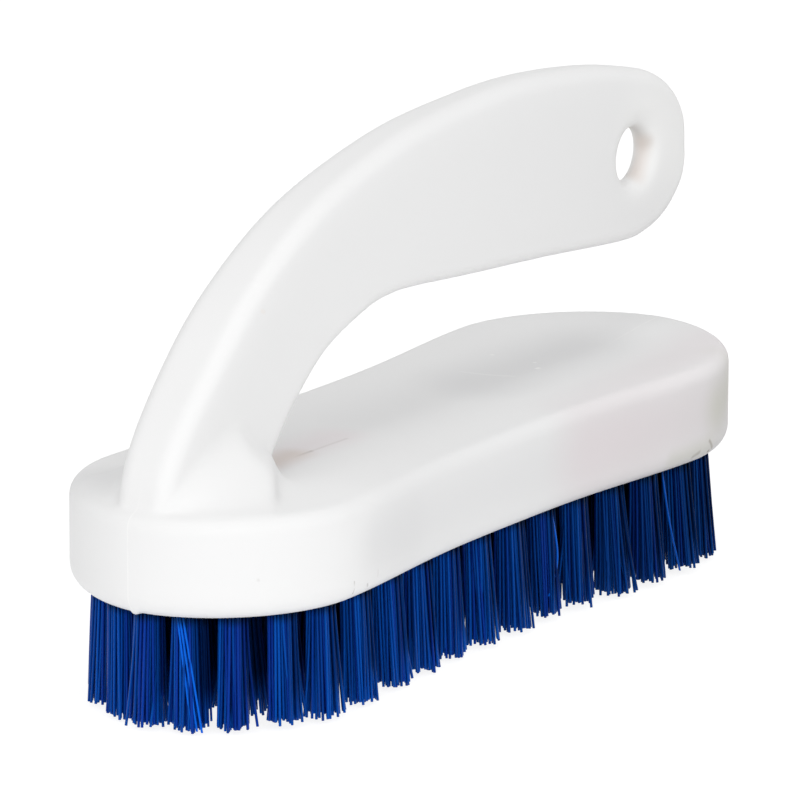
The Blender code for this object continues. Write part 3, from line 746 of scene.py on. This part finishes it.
# Grey is painted shade and painted shadow.
SHADE_GREY = (0.76, 0.76, 0.765, 1)
MARKS_AND_PAINTED_LIGHT = (
    # from, to, reach, colour, strength
    # painted shade: the near wall darkens past the curve of the handle's end
    ((-34, -20.4, 7.5), (26, -21, 7.5), 12, SHADE_GREY, 0.63),
    ((-40, -21.5, 7.5), (-31, -20.4, 7.5), 8, SHADE_GREY, 0.60),
    # painted shade on the wall of the free end
    ((67, -9, 9), (69, -1, 9), 9, SHADE_GREY, 0.60),
    # a pinkish aged tint, and painted shade as the light falls off towards the free end
    ((18, -21, 8), (62, -15, 9), 14, AGED_TINT_AND_SHADE, 1),
    # painted shadow of the handle on the block's top
    ((-5, 3, 13.9), (22, 3, 13.7), 13, SHADE_GREY, 0.30),
    ((22, 2, 13.7), (50, 2, 13.7), 13, SHADE_GREY, 0.85),
    # painted shade on the top beside the foot, on the far side
    ((-59, 9, 14.6), (-56, 15, 14.6), 9, SHADE_GREY, 0.75),
    # painted light: the handle's free end is lightened
    ((60, -2.4, 46), (72, -2.4, 42), 13, PALE, 0.7),
    ((50.5, -22, 8), (56, -19, 10), 7, CREAM, 0.70),
    ((38, -22.6, 2), (47, -22.6, 2.4), 3, CREAM, 0.45),
    ((43.4, -22.2, 1.6), (44.7, -22.4, 2), 0.7, DIRT, 0.35),
    ((47.3, -22.7, 3.3), (48.7, -22.2, 1.8), 0.45, DIRT, 0.45),
    ((47.7, -22.1, 1.5), (47.9, -22.1, 1.4), 0.5, DIRT, 0.75),
    ((-46.5, -22.7, 3.4), (-46.4, -22.5, 2.7), 0.22, SCUFF, 0.45),
    ((-46.3, -22.4, 2.3), (-46.2, -22.2, 1.5), 0.28, SCUFF, 0.6),
    ((-42.9, -22.4, 2.2), (-42.5, -22.1, 1.7), 0.3, SCUFF, 0.55),
    ((-44.8, -4.6, 40.2), (-44.8, -4.6, 40.1), 0.28, DIRT, 0.9),
    ((-44.4, -4.6, 40.1), (-43.8, -4.6, 39.8), 0.7, SMEAR, 0.4),
    ((-42.2, -4.6, 41.9), (-42.1, -4.6, 41.7), 0.3, SCUFF, 0.2),
    # painted shade under the handle's arch, with a pinkish tint
    ((-34, 1.5, 14.3), (-16, 2, 14.2), 7, ROSE_SHADE, 0.7),
    # brown dirt, and painted shade in the crease behind the foot
    ((-35, 0.8, 14.6), (-28, 1.2, 14.3), 4.5, EARTH, 0.75),
    ((-35.5, 0, 15.4), (-25, 0, 14.3), 0.55, DIRT, 0.28),
    ((-25, 0, 14.3), (-16, 0, 14.2), 0.5, DIRT, 0.14),
    ((58.6, -0.1, 47.2), (61.9, -0.4, 44.2), 2.4, DIRT, 0.36),
    ((62, -0.5, 43.8), (60, -0.4, 39), 2.6, EARTH, 0.65),
    ((-61.5, -16.6, 6.2), (-61.4, -16.6, 6.1), 0.35, SCUFF, 0.16),
    ((-40.3, -22.4, 3.6), (-40.3, -22.4, 2.8), 0.3, SCUFF, 0.16),
    ((35.3, 0.8, 13.7), (35.7, 0.8, 13.7), 0.6, PALE, 0.9),
    ((38.1, 3.1, 13.7), (38.2, 3.1, 13.7), 0.5, PALE, 0.8),
    ((36.6, 9.9, 14.1), (36.7, 9.9, 14.1), 0.5, PALE, 0.7),
    ((49.6, -8, 14.2), (49.8, -8, 14.2), 0.5, PALE, 0.7),
    ((25.6, 8.1, 13.9), (29.3, 1, 13.7), 0.5, PALE, 0.3),
)
SEAM_HALF_WIDTH, SEAM_STRENGTH, SEAM_HEIGHT = 0.17, 0.7, 0.012
GRAIN_HEIGHT, WAVE_HEIGHT = 0.004, 0.06
PLASTIC_ROUGHNESS, PLASTIC_SPECULAR = 0.45, 0.25


def white_plastic():
    """Satin white with a fine uneven skin, a parting line, small marks, and strokes of painted shade
    and light.
    """
    values = {"Roughness": PLASTIC_ROUGHNESS, "Specular IOR Level": PLASTIC_SPECULAR}
    material, t, sockets = new_material("white moulded plastic", values)
    seam = t.placed(seam_group(), "Mask", {"Half Width": SEAM_HALF_WIDTH * MM})
    colour = t.mixed(t.times(seam, SEAM_STRENGTH), WHITE, PALE)
    stroke = stroke_group()
    for start, end, reach, tint, strength in MARKS_AND_PAINTED_LIGHT:
        places = {"From": to_frame(start), "To": to_frame(end), "Reach": reach * MM}
        stroke_mask = t.placed(stroke, "Mask", places)
        colour = t.mixed(t.times(stroke_mask, strength), colour, tint)
    t.into(colour, sockets["Base Color"])
    uneven = {"Grain": GRAIN_HEIGHT * MM, "Wave": WAVE_HEIGHT * MM}
    skin = t.placed(skin_group(), "Height", uneven)
    height = t.math("MULTIPLY_ADD", seam, SEAM_HEIGHT * MM, skin)
    bump = t.add("ShaderNodeBump", {"Height": height, "Distance": 1.0, "Strength": 1.0})
    t.into(bump.outputs["Normal"], sockets["Normal"])
    return material


back.data.materials.append(white_plastic())
print(len(MARKS_AND_PAINTED_LIGHT), "marks on the white plastic")

# %% [markdown]
# ## Filament tufts
# A tuft is a bundle of thin nylon filaments, folded in two and driven into its hole. They leave the
# hole packed tight and spread a little on the way down, the outer ring leans outwards, and the
# trimmed tips are not quite level. The tree packs filaments round each point in a sunflower pattern,
# bends each one with its own random numbers, and turns the curves into thin rods. It also marks the
# side of each tuft that faces away from the light, for the material to darken.

# %% Node tree of the tufts
ROOT_DEPTH = 0.0012
FILAMENT_INPUTS = (
    ("Filaments", 66),
    ("Tuft Radius", 0.00205),
    ("Filament Radius", 0.000215),
    ("Sides", 5),
    ("Joints", 5),
    ("Root Height", BRISTLE_LENGTH * MM + ROOT_DEPTH),
    ("Tip Height", 0.0005),
    ("Unevenness", 0.00050),
    ("Spread", 0.26),
    ("Wander", 0.00032),
    ("Stray Share", 0.10),
    ("Stray Reach", 0.0015),
    ("Lee Shade", 0.75),
    ("Seed", 11),
)
GOLDEN_ANGLE = math.pi * (3 - math.sqrt(5))
LEE_SIDE, LEE_RANGE = (0.57, -0.82, 0.0), (0.1, 0.9)
VECTOR = "FLOAT_VECTOR"


def filament_tree(material):
    """The node group that grows tufts of filaments from points."""
    group = bpy.data.node_groups.new("filament tufts", "GeometryNodeTree")
    group.interface.new_socket("Geometry", in_out="INPUT", socket_type="NodeSocketGeometry")
    for name, value in FILAMENT_INPUTS:
        kind = "NodeSocketInt" if isinstance(value, int) else "NodeSocketFloat"
        socket = group.interface.new_socket(name, in_out="INPUT", socket_type=kind)
        socket.default_value = value
    group.interface.new_socket("Geometry", in_out="OUTPUT", socket_type="NodeSocketGeometry")
    t = Tree(group)
    given = t.add("NodeGroupInput").outputs
    index = t.first("GeometryNodeInputIndex")
    share = t.math("DIVIDE", t.math("ADD", index, 0.5), given["Filaments"])
    reach = t.times(t.math("SQRT", share), given["Tuft Radius"])
    turn = t.times(index, GOLDEN_ANGLE)
    spot = t.add("ShaderNodeCombineXYZ", {
        "X": t.times(reach, t.math("COSINE", turn)),
        "Y": t.times(reach, t.math("SINE", turn)),
    }).outputs[0]
    bundle = t.first("GeometryNodePoints", {"Count": given["Filaments"], "Position": spot})
    tufts = t.add("GeometryNodeInstanceOnPoints", {
        "Points": given["Geometry"], "Instance": bundle,
        "Rotation": t.named("turned", VECTOR),
    }).outputs[0]
    roots = t.first("GeometryNodeRealizeInstances", {"Geometry": tufts})

    def chance(kind, low, high, more):
        """A random value from low to high, with its own seed."""
        seed = t.math("ADD", given["Seed"], float(more))
        first = 0 if kind == VECTOR else 2
        inputs = {first: low, first + 1: high, "Seed": seed}
        node = t.add("FunctionNodeRandomValue", inputs, data_type=kind)
        return node.outputs[first // 2]

    level, low = (1.0, 1.0, 0.0), (-1.0, -1.0, 0.0)
    drift = t.scaled(chance(VECTOR, low, level, 1), given["Wander"])
    far = t.scaled(chance(VECTOR, low, level, 2), given["Stray Reach"])
    strays = t.math("LESS_THAN", chance("FLOAT", 0.0, 1.0, 3), given["Stray Share"])
    drift = t.vector("ADD", drift, t.scaled(far, strays))
    cut = t.times(chance("FLOAT", -1.0, 1.0, 4), given["Unevenness"])
    roots = t.stored(roots, "drift", drift, VECTOR)
    level_of_tuft = t.math("ADD", given["Tip Height"], t.named("cut"))
    roots = t.stored(roots, "tip", t.math("ADD", level_of_tuft, cut))
    roots = t.stored(roots, "shade", chance("FLOAT", 0.0, 1.0, 5))
    place = t.first("GeometryNodeInputPosition")
    roots = t.stored(roots, "root", place, VECTOR)
    root, centre = t.named("root", VECTOR), t.named("centre", VECTOR)
    aside = t.dot(t.vector("SUBTRACT", place, centre), LEE_SIDE)
    lee = t.ramp(t.math("DIVIDE", aside, given["Tuft Radius"]), *LEE_RANGE)
    lee = t.times(lee, given["Lee Shade"])
    roots = t.stored(roots, "depth", t.math("MAXIMUM", t.named("depth"), lee))
    down = {"Start": (0, 0, 0), "End": (0, 0, -1)}
    line = t.first("GeometryNodeCurvePrimitiveLine", down)
    line = t.first("GeometryNodeResampleCurve", {"Curve": line, "Count": given["Joints"]})
    rods = t.first("GeometryNodeInstanceOnPoints", {"Points": roots, "Instance": line})
    rods = t.first("GeometryNodeRealizeInstances", {"Geometry": rods})
    along = t.add("GeometryNodeSplineParameter").outputs["Factor"]
    side = t.vector("MULTIPLY", t.vector("SUBTRACT", root, centre), level)
    flare = t.times(given["Spread"], t.named("flare"))
    side = t.vector("ADD", t.scaled(side, flare), t.named("lean", VECTOR))
    bend = t.scaled(t.named("drift", VECTOR), t.times(along, along))
    place = t.vector("ADD", root, t.vector("ADD", t.scaled(side, along), bend))
    fall = t.math("SUBTRACT", given["Root Height"], t.named("tip"))
    height = t.math("SUBTRACT", given["Root Height"], t.times(fall, along))
    upright = t.first("ShaderNodeCombineXYZ", {"Z": height})
    place = t.vector("ADD", t.vector("MULTIPLY", place, level), upright)
    rods = t.first("GeometryNodeSetPosition", {"Geometry": rods, "Position": place})
    size = {"Resolution": given["Sides"], "Radius": given["Filament Radius"]}
    ring = t.first("GeometryNodeCurvePrimitiveCircle", size)
    sweep = {"Curve": rods, "Profile Curve": ring, "Fill Caps": True}
    solid = t.first("GeometryNodeCurveToMesh", sweep)
    solid = t.first("GeometryNodeSetShadeSmooth", {"Geometry": solid})
    solid = t.first("GeometryNodeRealizeInstances", {"Geometry": solid})
    solid = t.first("GeometryNodeSetMaterial", {"Geometry": solid, "Material": material})
    t.add("NodeGroupOutput", {"Geometry": solid})
    return group


# %% [markdown]
# ## Blue nylon
# The filament is a glossy royal blue nylon, and most of its look comes from the rods' shapes. A
# random number from the node tree makes some rods lighter and a few more violet. Rods of the inner
# rows and on each tuft's lee side darken and lose gloss towards their roots, painted shade where
# hardly any light gets in. The very roots are darkest, painted shade under the block's edge, and the
# blue darkens towards the free end, painted shade where less light reaches.

# %% Blue filament
DEEP_BLUE = (0.001, 0.032, 0.240, 1)
ROYAL_BLUE = (0.002, 0.074, 0.430, 1)
VIOLET_BLUE = (0.003, 0.028, 0.290, 1)
BLUE_SHEEN = (0.07, 0.45, 1.00, 1)
SHADED_BLUE_SHARE = 0.18
SHADED_FROM, SHADED_TO = 0.001, 0.007
# painted shade at the very roots, under the block's edge
ROOT_FROM, ROOT_TO, ROOT_SHADE_SHARE = 0.0150, 0.0168, 0.15
# painted shade: the blue darkens towards the free end
END_SHADE_FROM, END_SHADE_TO, END_SHADE_SHARE = -0.035, 0.055, 0.50
VIOLET_DRAW, VIOLET_RANGE = 7.3, (0.78, 0.84)
GLOSS, NYLON_ROUGHNESS = 0.4, 0.30


def blue_filament():
    """Glossy nylon whose tone varies from rod to rod, with painted shade at the roots, between the
    tufts and towards the free end.
    """
    values = {"Roughness": NYLON_ROUGHNESS, "Specular Tint": BLUE_SHEEN}
    material, t, sockets = new_material("blue nylon filament", values)
    shade = t.add("ShaderNodeAttribute", attribute_name="shade").outputs["Fac"]
    blue = t.mixed(shade, DEEP_BLUE, ROYAL_BLUE)
    draw = t.math("FRACT", t.times(shade, VIOLET_DRAW))
    blue = t.mixed(t.ramp(draw, *VIOLET_RANGE), blue, VIOLET_BLUE)
    depth = t.add("ShaderNodeAttribute", attribute_name="depth").outputs["Fac"]
    place = t.add("ShaderNodeTexCoord").outputs["Object"]
    x, _, z = t.add("ShaderNodeSeparateXYZ", {"Vector": place}).outputs

    def darkened(mask, left):
        """1 where the mask is 0, and the share that is left where it is 1."""
        return t.math("ADD", t.times(mask, left - 1), 1.0)

    shaded = darkened(t.times(t.ramp(z, SHADED_FROM, SHADED_TO), depth), SHADED_BLUE_SHARE)
    end_shade = darkened(t.ramp(x, END_SHADE_FROM, END_SHADE_TO), END_SHADE_SHARE)
    root_shade = darkened(t.ramp(z, ROOT_FROM, ROOT_TO), ROOT_SHADE_SHARE)
    tone = t.times(t.times(shaded, end_shade), root_shade)
    tone = t.times(tone, t.math("MAXIMUM", shade, 1.0))
    t.into(t.vector("MULTIPLY", blue, tone), sockets["Base Color"])
    t.into(t.times(shaded, GLOSS), sockets["Specular IOR Level"])
    return material


# %% [markdown]
# ## Growing the tufts
# The points that the tree starts from carry what differs from tuft to tuft: its middle, its lean,
# how far it flares and how its sunflower is turned. Tufts near the free end are more worn and flare
# further. The outer ring and the inner rows are two meshes, to keep each one light.

# %% Tufts
SIDE_LEAN, HANDLE_END_LEAN, LEAN_CHANCE, SIDEWAYS_CHANCE = 1.0, 0.1, 0.25, 0.3
HANDLE_END_FROM, HANDLE_END_RUN = -48, 12
INNER_LEAN = 0.25
TUFT_UNEVENNESS = 0.25
FLARE_RANGES = ((0.6, 1.5), (2.8, 3.8))
WORN_FLARE = ((-40.0, 20.0), (1.0, 1.3))
rng = np.random.default_rng(5)


def store(mesh, kind, **values):
    """Gives the mesh's points named values."""
    for name, value in values.items():
        layer = mesh.attributes.new(name, kind, "POINT")
        layer.data.foreach_set("vector" if kind == VECTOR else "value", value.ravel())


def grow(name, places, leans, depth, tree, seed):
    """A mesh of filaments grown from the places of tufts."""
    roots = to_frame(np.concatenate([places, np.zeros((len(places), 1))], 1))
    roots[:, 2] = 0
    mesh = bpy.data.meshes.new(name)
    mesh.from_pydata(roots.tolist(), [], [])
    turned = np.zeros((len(places), 3))
    turned[:, 2] = rng.uniform(0, math.tau, len(places))
    leaning = np.concatenate([leans, np.zeros((len(places), 1))], 1) * MM
    store(mesh, VECTOR, centre=roots, lean=leaning, turned=turned)
    cut = rng.uniform(-1, 1, len(places)) * TUFT_UNEVENNESS * MM
    flare = rng.uniform(*FLARE_RANGES[depth], len(places))
    flare = flare * np.interp(places[:, 0], *WORN_FLARE)
    store(mesh, "FLOAT", cut=cut, flare=flare, depth=np.full(len(places), float(depth)))
    thing = placed_object(name, mesh)
    modifier = thing.modifiers.new("tufts", "NODES")
    modifier.node_group = tree
    items = [item for item in tree.interface.items_tree if item.in_out == "INPUT"]
    sockets = {item.name: item.identifier for item in items}
    modifier[sockets["Seed"]] = seed
    bpy.context.view_layer.update()
    state = bpy.context.evaluated_depsgraph_get()
    grown = bpy.data.meshes.new_from_object(thing.evaluated_get(state))
    thing.modifiers.remove(modifier)
    thing.data = grown
    grown.name = name
    print(name, len(grown.polygons), "faces", len(grown.vertices), "points")
    return thing


nylon = blue_filament()
filaments = filament_tree(nylon)
end_share = smooth_step((HANDLE_END_FROM - outer_tufts[:, 0]) / HANDLE_END_RUN)
lean_size = SIDE_LEAN + (HANDLE_END_LEAN - SIDE_LEAN) * end_share
lean_size = lean_size + rng.uniform(-LEAN_CHANCE, LEAN_CHANCE, len(outer_tufts))
sideways = rng.uniform(-SIDEWAYS_CHANCE, SIDEWAYS_CHANCE, (len(outer_tufts), 1))
sideways = np.stack([-outer_facing[:, 1], outer_facing[:, 0]], 1) * sideways
outer_leans = outer_facing * lean_size[:, None] + sideways
inner_leans = rng.uniform(-INNER_LEAN, INNER_LEAN, inner_tufts.shape)
outer = grow("outer_filaments", outer_tufts, outer_leans, 0, filaments, 11)
inner = grow("inner_filaments", inner_tufts, inner_leans, 1, filaments, 23)
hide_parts(*[f"tuft_outer_{i:02d}" for i in range(1, 39)])
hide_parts(*[f"tuft_row_{i:02d}" for i in range(1, 15)])
for piece in (outer, inner):
    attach(piece, "root")

# %% [markdown]
# ## Stray filaments
# The few filaments that stand out are drawn one by one, each with its own shade, as a smooth curve
# through two or three places. Those with no shade at all hang in the dark between two tufts.

# %% Stray filaments
STRAYS = (
    # shade, then the places from the root to the tip
    (1.7, (-66, -5.7, 0.4), (-65.2, -7.6, -16.9)),
    (1.65, (-65.9, -6, 0.4), (-64.9, -8.3, -16.8)),
    (1.75, (-65.7, -6.4, 0.4), (-64.5, -8.9, -17)),
    (2, (12.4, -17, 0.4), (13.5, -17.6, -7.9), (11.6, -17.4, -13.5)),
    (1.7, (37.7, -19.1, 0.4), (38.2, -19.4, -16.3)),
    (2, (39.6, -19, 0.4), (40.8, -19.7, -8.1), (43.4, -20.1, -16.6)),
    (0, (-64.2, -9, 0.4), (-63.7, -9, -15.8)),
    (0, (-63.9, -9, 0.4), (-63.1, -9, -16.4)),
    (0, (-63.5, -9.1, 0.4), (-62.5, -9.1, -15.7)),
)
STRAY_RADIUS, STRAY_JOINTS, STRAY_SIDES = 0.17, 8, 6


def stray_filaments():
    """Single filaments that stand out, swept along smooth chains."""
    sides = np.linspace(0, math.tau, STRAY_SIDES, endpoint=False)
    ring = STRAY_RADIUS * np.stack([np.cos(sides), np.sin(sides), 0 * sides], 1)
    points, faces, shades = [], [], []
    for shade, *places in STRAYS:
        chain = catmull_rom(places, STRAY_JOINTS)
        first = len(points) * len(ring)
        points += [spot + ring for spot in chain]
        shades += [shade] * len(chain) * len(ring)
        for i in range(len(chain) - 1):
            a, b = first + STRAY_SIDES * i, first + STRAY_SIDES * (i + 1)
            for j in range(STRAY_SIDES):
                k = (j + 1) % STRAY_SIDES
                faces.append((a + j, a + k, b + k, b + j))
    return np.concatenate(points), np.array(faces)[:, ::-1], np.array(shades)


*form, shades = stray_filaments()
strays = mesh_object("stray_filaments", *form)
store(strays.data, "FLOAT", shade=shades, depth=(shades == 0).astype(float))
strays.data.materials.append(nylon)
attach(strays, "root")
print(len(STRAYS), "stray filaments")

# %% [markdown]
# ## Light and surroundings
# A large soft panel stands to the front left and a smaller one hangs overhead. The world is
# brighter towards the upper front left, so the right-hand side falls off a little. The paper below
# shines upwards, which lights the block's lower edge, apart from a dim patch by the free end, a
# painted shadow on the paper that sends less light up there. The background is white only where
# the camera, or a reflection, looks at it, and that white adds no light to the brush. The floor
# still takes real light, so that a soft shadow stays on it.

# %% Floor, panels and world
FLOOR_SIZE = 6.0
FLOOR_DROP = 0.0005
PURE_WHITE = (1, 1, 1, 1)
FLOOR_GREY, PAINTED_SHADOW_GREY = (0.85, 0.85, 0.85, 1), (0.08, 0.08, 0.08, 1)
PAPER_ROUGHNESS = 0.9
# a painted shadow patch on the paper, by the free end
DIM_FROM, DIM_TO, DIM_REACH = (0.075, -0.06, 0), (0.13, -0.03, 0), 0.09
WORLD_LEVEL = 0.447
WORLD_TILT = (-0.80, -0.69, 0.92)
GLOW_LEVEL = 0.86
LIT_GREY = (0.30, 0.30, 0.30, 1)
FLOOR_LIGHT = 0.235
PANEL_TARGET = Vector((0.0, 0.0, 0.03))
PANELS = (
    # name, place, size, watts
    ("front_left_panel", (-1.40, -1.05, 0.55), 0.9, 3.9),
    ("overhead_panel", (-0.15, -0.20, 1.40), 0.6, 2.1),
)


def seen_group():
    """A shared mask: 1 where the camera, a reflection or a glassy piece looks, otherwise 0."""
    group, t, _ = shader_group("seen directly", (), "Seen")
    path = t.add("ShaderNodeLightPath").outputs
    either = t.math("MAXIMUM", path["Is Camera Ray"], path["Is Glossy Ray"])
    t.add("NodeGroupOutput", {"Seen": t.math("MAXIMUM", either, path["Is Transmission Ray"])})
    return group


def add_world(seen):
    """A light that grows towards the upper front left, and white where it is seen directly."""
    world = bpy.data.worlds.new("studio")
    bpy.context.scene.world = world
    world.use_nodes = True
    t = Tree(world.node_tree)
    light = world.node_tree.nodes["Background"]
    light.inputs["Color"].default_value = PURE_WHITE
    tilt = t.dot(t.add("ShaderNodeTexCoord").outputs["Generated"], WORLD_TILT)
    level = t.math("MAXIMUM", t.times(t.math("ADD", tilt, 1.0), WORLD_LEVEL), 0.0)
    t.into(level, light.inputs["Strength"])
    white = t.first("ShaderNodeBackground", {"Color": PURE_WHITE, "Strength": 1.0})
    ways = {0: t.placed(seen, "Seen"), 1: light.outputs[0], 2: white}
    mixed = t.first("ShaderNodeMixShader", ways)
    t.into(mixed, world.node_tree.nodes["World Output"].inputs["Surface"])


def floor_material(seen):
    """Pale paper that lights the brush from below, less so in a painted shadow patch, and glows white
    where it is seen directly.
    """
    values = {"Roughness": PAPER_ROUGHNESS, "Emission Color": PURE_WHITE}
    material, t, sockets = new_material("white paper", values)
    patch = {"From": DIM_FROM, "To": DIM_TO, "Reach": DIM_REACH}
    dim = t.placed(bpy.data.node_groups["stroke"], "Mask", patch)
    t.into(t.mixed(dim, FLOOR_GREY, PAINTED_SHADOW_GREY), sockets["Base Color"])
    shine = t.times(t.math("SUBTRACT", 1.0, dim), FLOOR_LIGHT)
    t.into(shine, sockets["Emission Strength"])
    glow = t.first("ShaderNodeEmission", {"Color": PURE_WHITE, "Strength": GLOW_LEVEL})
    lit = t.first("ShaderNodeBsdfDiffuse", {"Color": LIT_GREY})
    both = t.first("ShaderNodeAddShader", {0: glow, 1: lit})
    paper = material.node_tree.nodes["Principled BSDF"].outputs[0]
    ways = {0: t.placed(seen, "Seen"), 1: paper, 2: both}
    mixed = t.first("ShaderNodeMixShader", ways)
    t.into(mixed, material.node_tree.nodes["Material Output"].inputs["Surface"])
    return material


def add_floor(seen):
    """A wide floor just under the tips."""
    half = FLOOR_SIZE / 2
    ring = ((-half, -half), (half, -half), (half, half), (-half, half))
    corners = [(*corner, -FLOOR_DROP) for corner in ring]
    mesh = bpy.data.meshes.new("floor")
    mesh.from_pydata(corners, [], [(0, 1, 2, 3)])
    mesh.materials.append(floor_material(seen))
    placed_object("floor", mesh)


def add_panel(name, place, size, power):
    """A square soft light that faces the brush."""
    data = bpy.data.lights.new(name, "AREA")
    data.shape = "SQUARE"
    data.size = size
    data.energy = power
    lamp = placed_object(name, data)
    lamp.location = place
    lamp.rotation_euler = (PANEL_TARGET - Vector(place)).to_track_quat("-Z", "Y").to_euler()


seen = seen_group()
add_world(seen)
add_floor(seen)
for panel in PANELS:
    add_panel(*panel)
bpy.context.scene.view_settings.view_transform = "Standard"
print("world at", WORLD_LEVEL, "and", len(PANELS), "panels")
